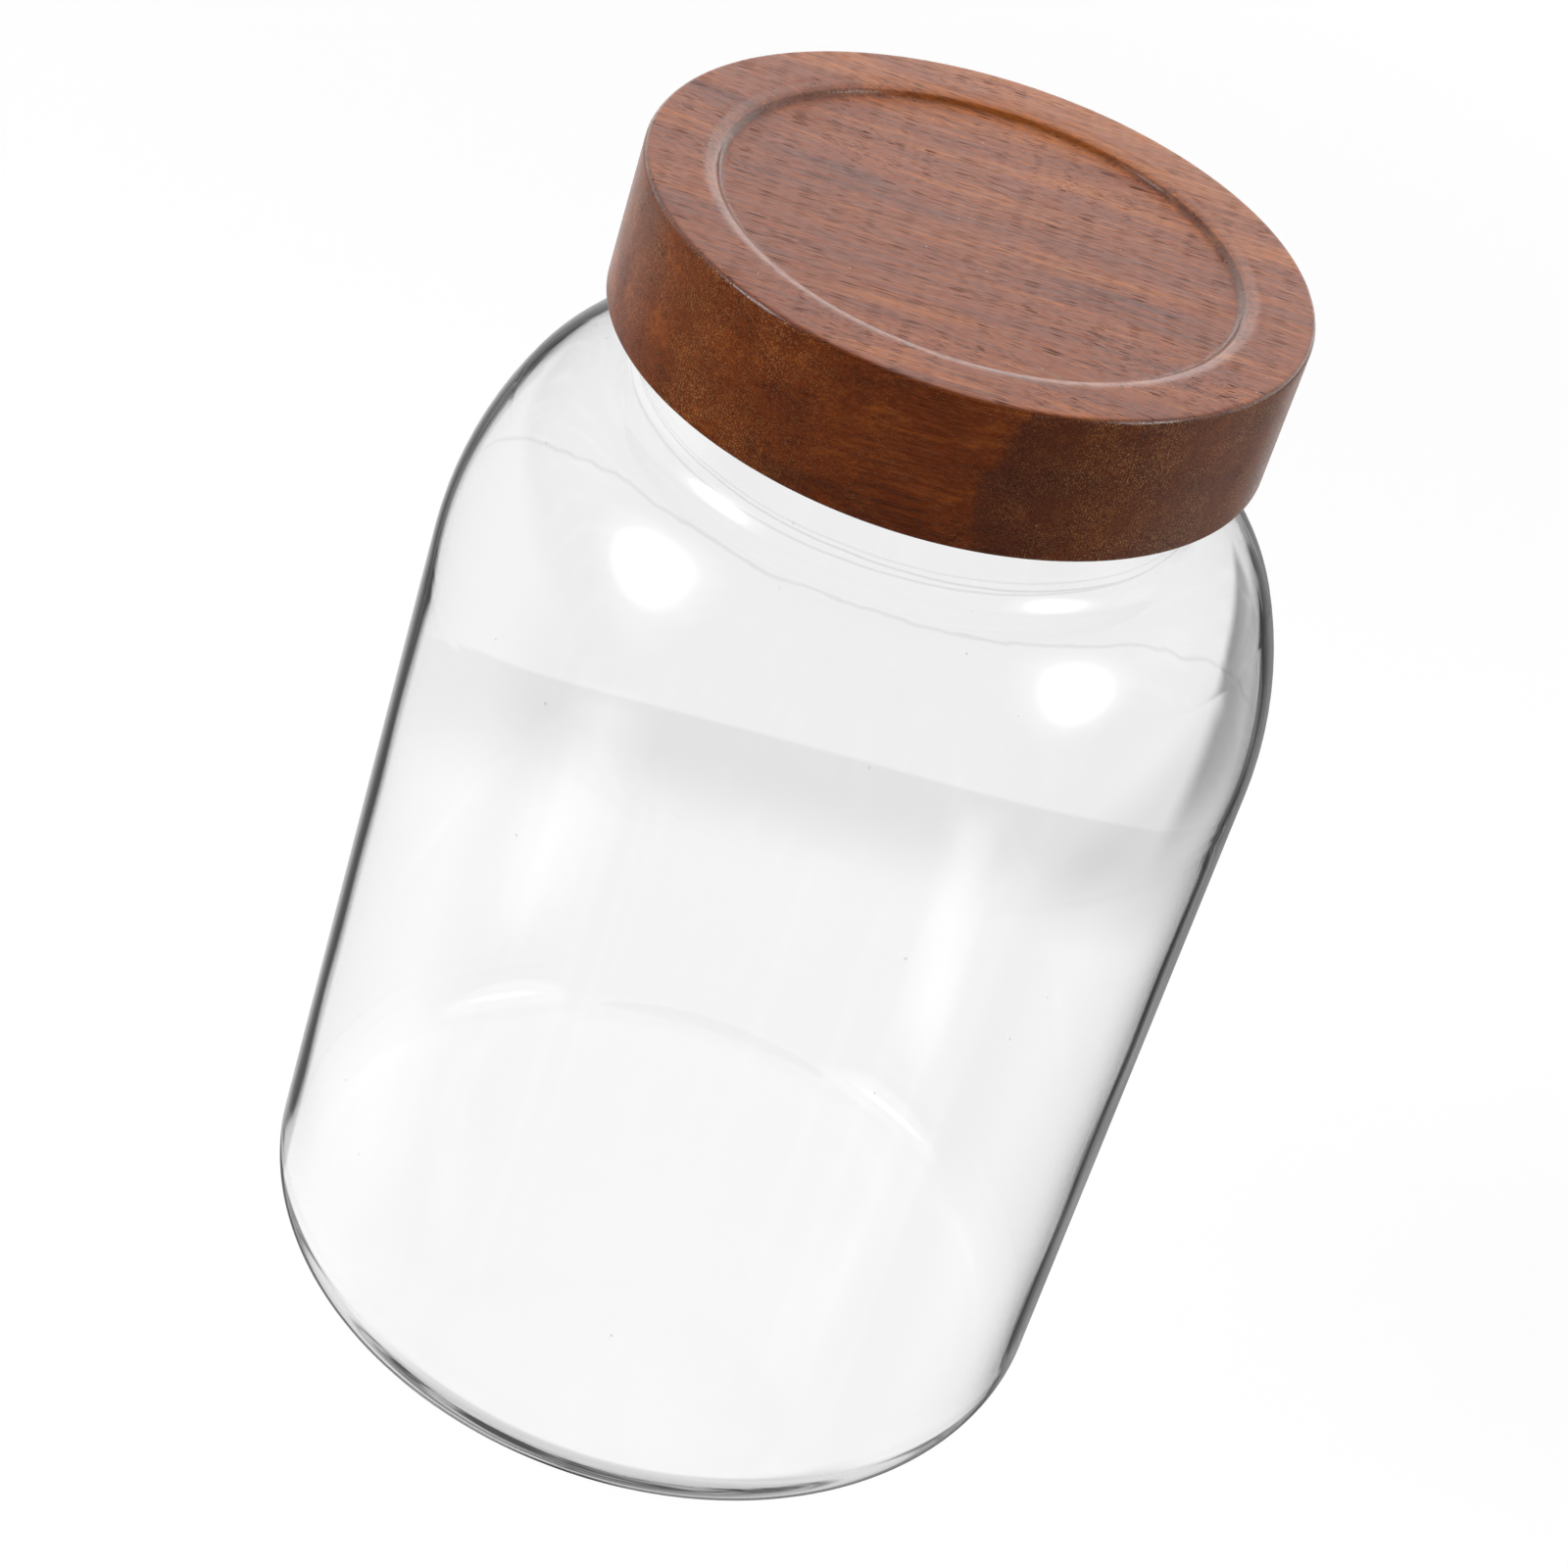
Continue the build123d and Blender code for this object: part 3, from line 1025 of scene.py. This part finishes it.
def floor_material():
    """A pale floor: white but for its shadow, toned where glass shows it, and clear to mirrors."""
    material, tree = blank("pale_floor")
    plain, sharp, soft, led_round = sight(tree)
    place = add(tree, "ShaderNodeNewGeometry").outputs["Position"]
    reach = vector_length(tree, place)
    glow = blend(tree, met(tree, "Transmission"), plain_white, floor_through_glass(tree, place, reach))
    glow = minus(tree, glow, ramp(tree, reach, *floor_reach, 1 - floor_glow, 1 - floor_far_glow))
    glow = add(tree, "ShaderNodeEmission", {"Strength": glow})
    shaded = add(tree, "ShaderNodeBsdfDiffuse", {"Color": floor_shade})
    lit = add(tree, "ShaderNodeAddShader", {0: shaded.outputs[0], 1: glow.outputs[0]})
    matte = add(tree, "ShaderNodeBsdfDiffuse", {"Color": floor_tone})
    solid = add(tree, "ShaderNodeMixShader", {0: plain, 1: matte.outputs[0], 2: lit.outputs[0]})
    clear = add(tree, "ShaderNodeBsdfTransparent")
    shaders = {0: total(tree, sharp, soft, led_round), 1: solid.outputs[0], 2: clear.outputs[0]}
    finish_with(tree, add(tree, "ShaderNodeMixShader", shaders))
    return material


def side_light(tree, turn, sharp, led_round):
    """Light low on the left and the right, with the left one further round for mirrored and led rays."""
    delay_mirrored = product(tree, sharp, left_delay_mirrored)
    delay_led_round = product(tree, led_round, left_delay_led_round)
    delayed = total(tree, turn, total(tree, delay_mirrored, delay_led_round))
    left = product(tree, ramp(tree, delayed, *left_start), ramp(tree, turn, *left_end), left_light)
    return total(tree, left, product(tree, band(tree, turn, *right_band), right_light))


def sharp_light(tree, turn, height, sides, patches):
    """What sharp reflections show: a white back, a dim front, and strips of light low beside the back."""
    aside = absolute(tree, turn)
    sky = blend(tree, ramp(tree, aside, *front_turn), ramp(tree, height, *mirror_sky), front_tone)
    patchy = blend(tree, ramp(tree, aside, *mirror_patches), patches, dark_tone)
    right = product(tree, band(tree, turn, *right_strip), right_strip_light)
    left = product(tree, *(ramp(tree, turn, *edge) for edge in left_strip))
    return blend(tree, ramp(tree, height, *horizon), greatest(tree, sides, patchy, left, right), sky)


def soft_light(tree, turn, height, sides):
    """What soft reflections show: a bright back, above and below the horizon, and a dim front."""
    aside = absolute(tree, turn)
    sky = blend(tree, ramp(tree, aside, *front_turn), ramp(tree, height, *soft_sky), front_tone)
    ground = blend(tree, ramp(tree, aside, *soft_ground_turn), soft_ground, dark_tone)
    low_sides = product(tree, sides, ramp(tree, turn, *soft_left_end))
    return blend(tree, ramp(tree, height, *horizon), greatest(tree, low_sides, ground), sky)


def led_light(tree, chart, height, sides, patches):
    """What glass leads round in its wall: patches, with streaks and a line low down, or all white."""
    level = blend(tree, ramp(tree, height, *led_horizon), greatest(tree, sides, patches), patches)
    line = ramp(tree, absolute(tree, minus(tree, height, low_line)), *low_line_edge)
    streaked = ramp(tree, noise(tree, chart, **low_streaks), *low_streak_levels)
    low = greatest(tree, product(tree, line, low_line_light), streaked)
    level = blend(tree, ramp(tree, height, *low_start), level, low)
    return blend(tree, met(tree, "Transmission", far_wall_surfaces), level, far_wall_light)


def make_world():
    """A surround that is white to the eye, and to each kind of reflection a room of pale and dim sides."""
    world = bpy.data.worlds.new("studio")
    world.use_nodes = True
    tree = world.node_tree
    tree.nodes.clear()
    plain, sharp, soft, led_round = sight(tree)
    across, back, height = parts(tree, add(tree, "ShaderNodeTexCoord").outputs["Generated"])
    turn = product(tree, maths(tree, "ARCTAN2", across, back), 360 / TURN)
    chart = flat(tree, turn, height)
    patches = ramp(tree, noise(tree, chart, **patch_texture), *patch_levels)
    sides = side_light(tree, turn, sharp, led_round)
    rest = minus(tree, 1.0, total(tree, plain, sharp, soft, led_round), clamp=True)
    level = total(
        tree,
        product(tree, sharp, sharp_light(tree, turn, height, sides, patches)),
        product(tree, soft, soft_light(tree, turn, height, sides)),
        product(tree, led_round, led_light(tree, chart, height, sides, patches)),
        product(tree, rest, sky_fill),
    )
    level = total(tree, product(tree, level, surround), product(tree, plain, plain_white))
    light = add(tree, "ShaderNodeBackground", {"Color": (1, 1, 1, 1), "Strength": level})
    add(tree, "ShaderNodeOutputWorld", {"Surface": light.outputs[0]})
    bpy.context.scene.world = world


def make_floor():
    """A round floor just below the jar."""
    bpy.ops.mesh.primitive_circle_add(
        vertices=floor_sides, radius=floor_radius, fill_type="NGON", location=(0, 0, -floor_drop)
    )
    floor = bpy.context.object
    floor.name = "floor"
    floor.data.materials.append(floor_material())


def lamp_glow(tree, centre, sides):
    """A bright core in a faint halo, dimmer in glass, and a thin streak with a spark by the far wall."""
    place = add(tree, "ShaderNodeNewGeometry").outputs["Position"]
    offset = vectors(tree, "SUBTRACT", place, centre)
    across, along = (dot(tree, offset, side) for side in sides)
    reach = vector_length(tree, flat(tree, across, along))
    in_glass = met(tree, "Transmission")
    halo = blend(tree, in_glass, halo_light, halo_light_in_glass)
    halo = product(tree, ramp(tree, reach, *halo_edge), halo)
    strength = total(tree, ramp(tree, reach, *core_edge), halo)
    strength = product(tree, strength, blend(tree, in_glass, 1.0, lamp_share_in_glass))
    squeezed = (product(tree, side, factor) for side, factor in zip((across, along), far_spark_squeeze))
    spark = ramp(tree, vector_length(tree, flat(tree, *squeezed)), *far_spark)
    streak = total(tree, ramp(tree, reach, *far_streak), spark)
    far_wall = product(tree, met(tree, "Transmission", far_wall_surfaces), met(tree, "Glossy"))
    glow = add(tree, "ShaderNodeEmission", {"Strength": blend(tree, far_wall, strength, streak)})
    add(tree, "ShaderNodeOutputLight", {"Surface": glow.outputs[0]})


def make_lamp(name, direction, radii, tilt, watts):
    """An oval lamp that faces the jar."""
    lamp = bpy.data.lights.new(name, "AREA")
    lamp.shape = "ELLIPSE"
    lamp.size, lamp.size_y = 2 * radii[0], 2 * radii[1]
    lamp.energy = watts
    lamp.use_nodes = True
    lamp.node_tree.nodes.clear()
    made = bpy.data.objects.new(name, lamp)
    made.location = lamp_aim + Vector(direction).normalized() * lamp_distance
    turn = (made.location - lamp_aim).to_track_quat("Z", "Y") @ Quaternion((0, 0, 1), math.radians(tilt))
    made.rotation_euler = turn.to_euler()
    bpy.context.scene.collection.objects.link(made)
    axes = (Vector((1, 0, 0)), Vector((0, 1, 0)))
    lamp_glow(lamp.node_tree, made.location, [turn @ axis / radius for axis, radius in zip(axes, radii)])


def make_camera():
    """The camera looks down at the jar and is rolled, so that the jar leans to the right in the picture."""
    lens = bpy.data.cameras.new("camera")
    lens.sensor_width = camera_sensor
    lens.lens = camera_lens
    camera = bpy.data.objects.new("camera", lens)
    forward = Vector((
        math.sin(camera_yaw) * math.cos(camera_pitch),
        math.cos(camera_yaw) * math.cos(camera_pitch),
        math.sin(camera_pitch),
    ))
    camera.location = camera_target - forward * camera_distance
    level = forward.to_track_quat("-Z", "Y").to_matrix().to_4x4()
    camera.matrix_world = Matrix.Translation(camera.location) @ level @ Matrix.Rotation(camera_roll, 4, "Z")
    bpy.context.scene.collection.objects.link(camera)
    bpy.context.scene.camera = camera


def dress(piece, material, node, body):
    """Give a piece its material, and let it ride in the place of its CAD node."""
    piece.data.materials.append(material)
    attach(piece, body)
    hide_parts(node)


make_camera()
make_world()
make_floor()
for name, lamp in lamps.items():
    make_lamp(name, **lamp)

glass = lathe("glass", glass_outline(), glass_columns, glass_shape)
mark_inside(glass)
dress(glass, glass_material(), "glass_jar", "jar")
ring = lathe("silicone_ring", ring_outline(), ring_columns, closed=True)
dress(ring, ring_material(), "seal_ring", "seal")
liner = lathe("liner", liner_outline(), liner_columns, liner_shape)
liner.data.set_sharp_from_angle(angle=math.radians(liner_sharp))
dress(liner, liner_material(), "threaded_liner", "lid")
lid = lathe("lid", lid_outline(), lid_columns)
lid.data.set_sharp_from_angle(angle=math.radians(lid_sharp))
dress(lid, wood_material(), "wooden_lid", "lid")

bpy.context.scene.view_settings.view_transform = "Standard"
